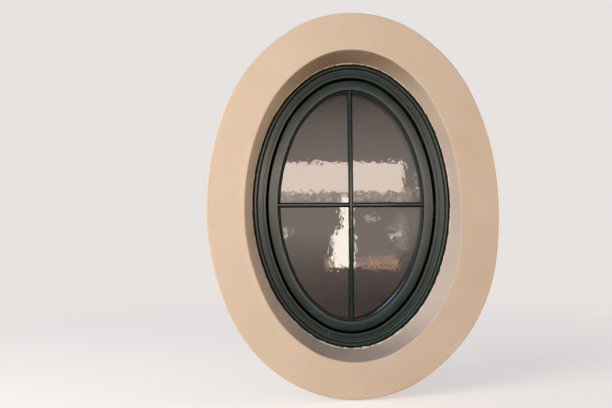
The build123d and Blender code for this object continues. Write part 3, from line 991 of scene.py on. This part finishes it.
# Gasket
# Black rubber strip stuck to the front of the sash's overlap. It closes the bottom of the gap, and
# its lip touches the back of the frame.
gasket_section = np.array([
    (40.4, 0.1), (41.0, -3.3), (42.2, -3.7), (43.4, -2.8),
    (44.2, -1.7), (51.6, -1.7), (52.3, -1.1), (52.6, 0.1),
]) * mm + (0, overlap_front)
gasket = oval_ring("overlap_gasket", gasket_section, 420)
gasket.data.materials.append(moulded_black("rubber", 0.85, 0.12))
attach(gasket, "opening_sash")

# Steel parts
# The hinges and the latch are plated steel with the faint lines of rolling, let into the timber
# and screwed. The straps are bent from galvanised strip. All their edges are eased.


def brushed_metal(name, dark, bright, roughness, scale):
    """Metal with fine lines one way, cloudy patches and slightly uneven gloss."""
    material, tree = new_material(name)
    place = add_node(tree, "TexCoord").outputs["Object"]
    drawn = add_node(tree, "Mapping", {"Vector": place, "Scale": scale}).outputs[0]
    lines = noise(tree, drawn, 1.0, 4.0)
    cloud = noise(tree, place, 45.0, 5.0)
    metal = add_node(tree, "BsdfPrincipled", {
        "Base Color": colour_ramp(tree, cloud, (0.3, rgb(*dark)), (0.7, rgb(*bright))),
        "Metallic": 1.0,
        "Roughness": map_range(tree, lines, 0.0, 1.0, roughness * 0.75, roughness * 1.3),
        "Normal": bump(tree, lines, 0.3, 0.0001),
    })
    finish_material(tree, metal.outputs[0])
    return material


plated_steel = brushed_metal("plated_steel", (0.42, 0.41, 0.39), (0.56, 0.55, 0.53), 0.34, (60, 60, 1800))
galvanised = brushed_metal("galvanised", (0.40, 0.41, 0.43), (0.62, 0.63, 0.65), 0.48, (160, 160, 160))

steel_nodes = (
    ("hinge_frame_halves", "fixed", 0.5), ("strike_plate", "fixed", 0.2),
    ("hinge_sash_halves", "opening_sash", 0.5), ("latch_case", "opening_sash", 0.25),
    ("latch_tongue", "turning_handle", 0.5), ("spindle", "turning_handle", 0.4),
)
for node, body, ease in steel_nodes:
    piece = softened(node + "_eased", node, ease * mm)
    piece.data.materials.append(plated_steel)
    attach(piece, body)
    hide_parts(node)

straps = softened("wall_straps_eased", "wall_straps", 0.5 * mm)
straps.data.materials.append(galvanised)
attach(straps, "fixed")
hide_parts("wall_straps")

# Handle and rose
# Cast brass lever on a flat rose, worn to a satin and slightly tarnished. The rose is screwed to
# the sash, and the lever sits on the square spindle that turns the latch's tongue.
brass_tones = (0.42, 0.27, 0.10), (0.66, 0.46, 0.20)
tarnished_brass = brushed_metal("tarnished_brass", *brass_tones, 0.30, (900, 60, 60))
for node, body, ease in (("handle", "turning_handle", 1.6), ("handle_rose", "opening_sash", 1.0)):
    piece = softened(node + "_eased", node, ease * mm, 3)
    piece.data.materials.append(tarnished_brass)
    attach(piece, body)
    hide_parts(node)

# Screws
# Round-headed slotted screws: brass ones in the rose, small plated ones in the strike plate and
# the faceplate, and large galvanised ones through the holes of the straps into the wall.


def screw_head(name, centre, facing, radius, dome, body, material):
    """Head with a domed face and a straight slot, on the side that it faces.

    A square grid is drawn in to a disc by u * sqrt(1 - v^2 / 2) and v * sqrt(1 - u^2 / 2). The
    height is dome * (1 - 0.8 r^2), and 0.55 of the dome less in the slot, which has sloped walls.
    """
    count = 33
    u, v = np.meshgrid(np.linspace(-1, 1, count), np.linspace(-1, 1, count), indexing="ij")
    across, along = u * np.sqrt(1 - v**2 / 2), v * np.sqrt(1 - u**2 / 2)
    rise = dome * (1 - 0.8 * (across**2 + along**2))
    rise -= 0.55 * dome * np.clip((0.19 - np.abs(across)) / 0.07, 0, 1)
    out = Vector(facing)
    side = out.cross(Vector((0.3, 0.5, 0.81))).normalized()
    up = out.cross(side)
    flat = radius * (across[..., None] * np.array(side) + along[..., None] * np.array(up))
    face = flat + rise[..., None] * np.array(out)
    foot = flat - 0.3 * mm * np.array(out)
    points = np.stack((face, foot)) + np.array(centre)
    made = new_mesh(name, points, slab_faces(count, count), radians(35))
    made.data.materials.append(material)
    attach(made, body)


rose_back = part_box("handle_rose")[1].y
rose_screw_height, plate_screw_inset = 27 * mm, 7 * mm
for number, height in enumerate((-rose_screw_height, rose_screw_height)):
    screw_head(
        f"rose_screw_{number}", (lever_x, rose_back, height), (0, 1, 0), 3.4 * mm, 0.9 * mm,
        "opening_sash", tarnished_brass,
    )
plate_middle = (strike_low.y + strike_high.y) / 2
for number, height in enumerate((strike_low.z + plate_screw_inset, strike_high.z - plate_screw_inset)):
    screw_head(
        f"strike_screw_{number}", (strike_low.x, plate_middle, height), (-1, 0, 0), 3.0 * mm, 0.6 * mm,
        "fixed", plated_steel,
    )
    screw_head(
        f"faceplate_screw_{number}", (case_high.x, plate_middle, height), (1, 0, 0), 3.0 * mm, 0.6 * mm,
        "opening_sash", plated_steel,
    )
strap_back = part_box("wall_straps")[1].y
hole_x, hole_z = 248.43 * mm, 383.95 * mm  # The holes of the straps
for number, (way_x, way_z) in enumerate(((1, 1), (-1, 1), (-1, -1), (1, -1))):
    screw_head(
        f"strap_screw_{number}", (way_x * hole_x, strap_back, way_z * hole_z), (0, 1, 0), 8 * mm, 3.0 * mm,
        "fixed", galvanised,
    )
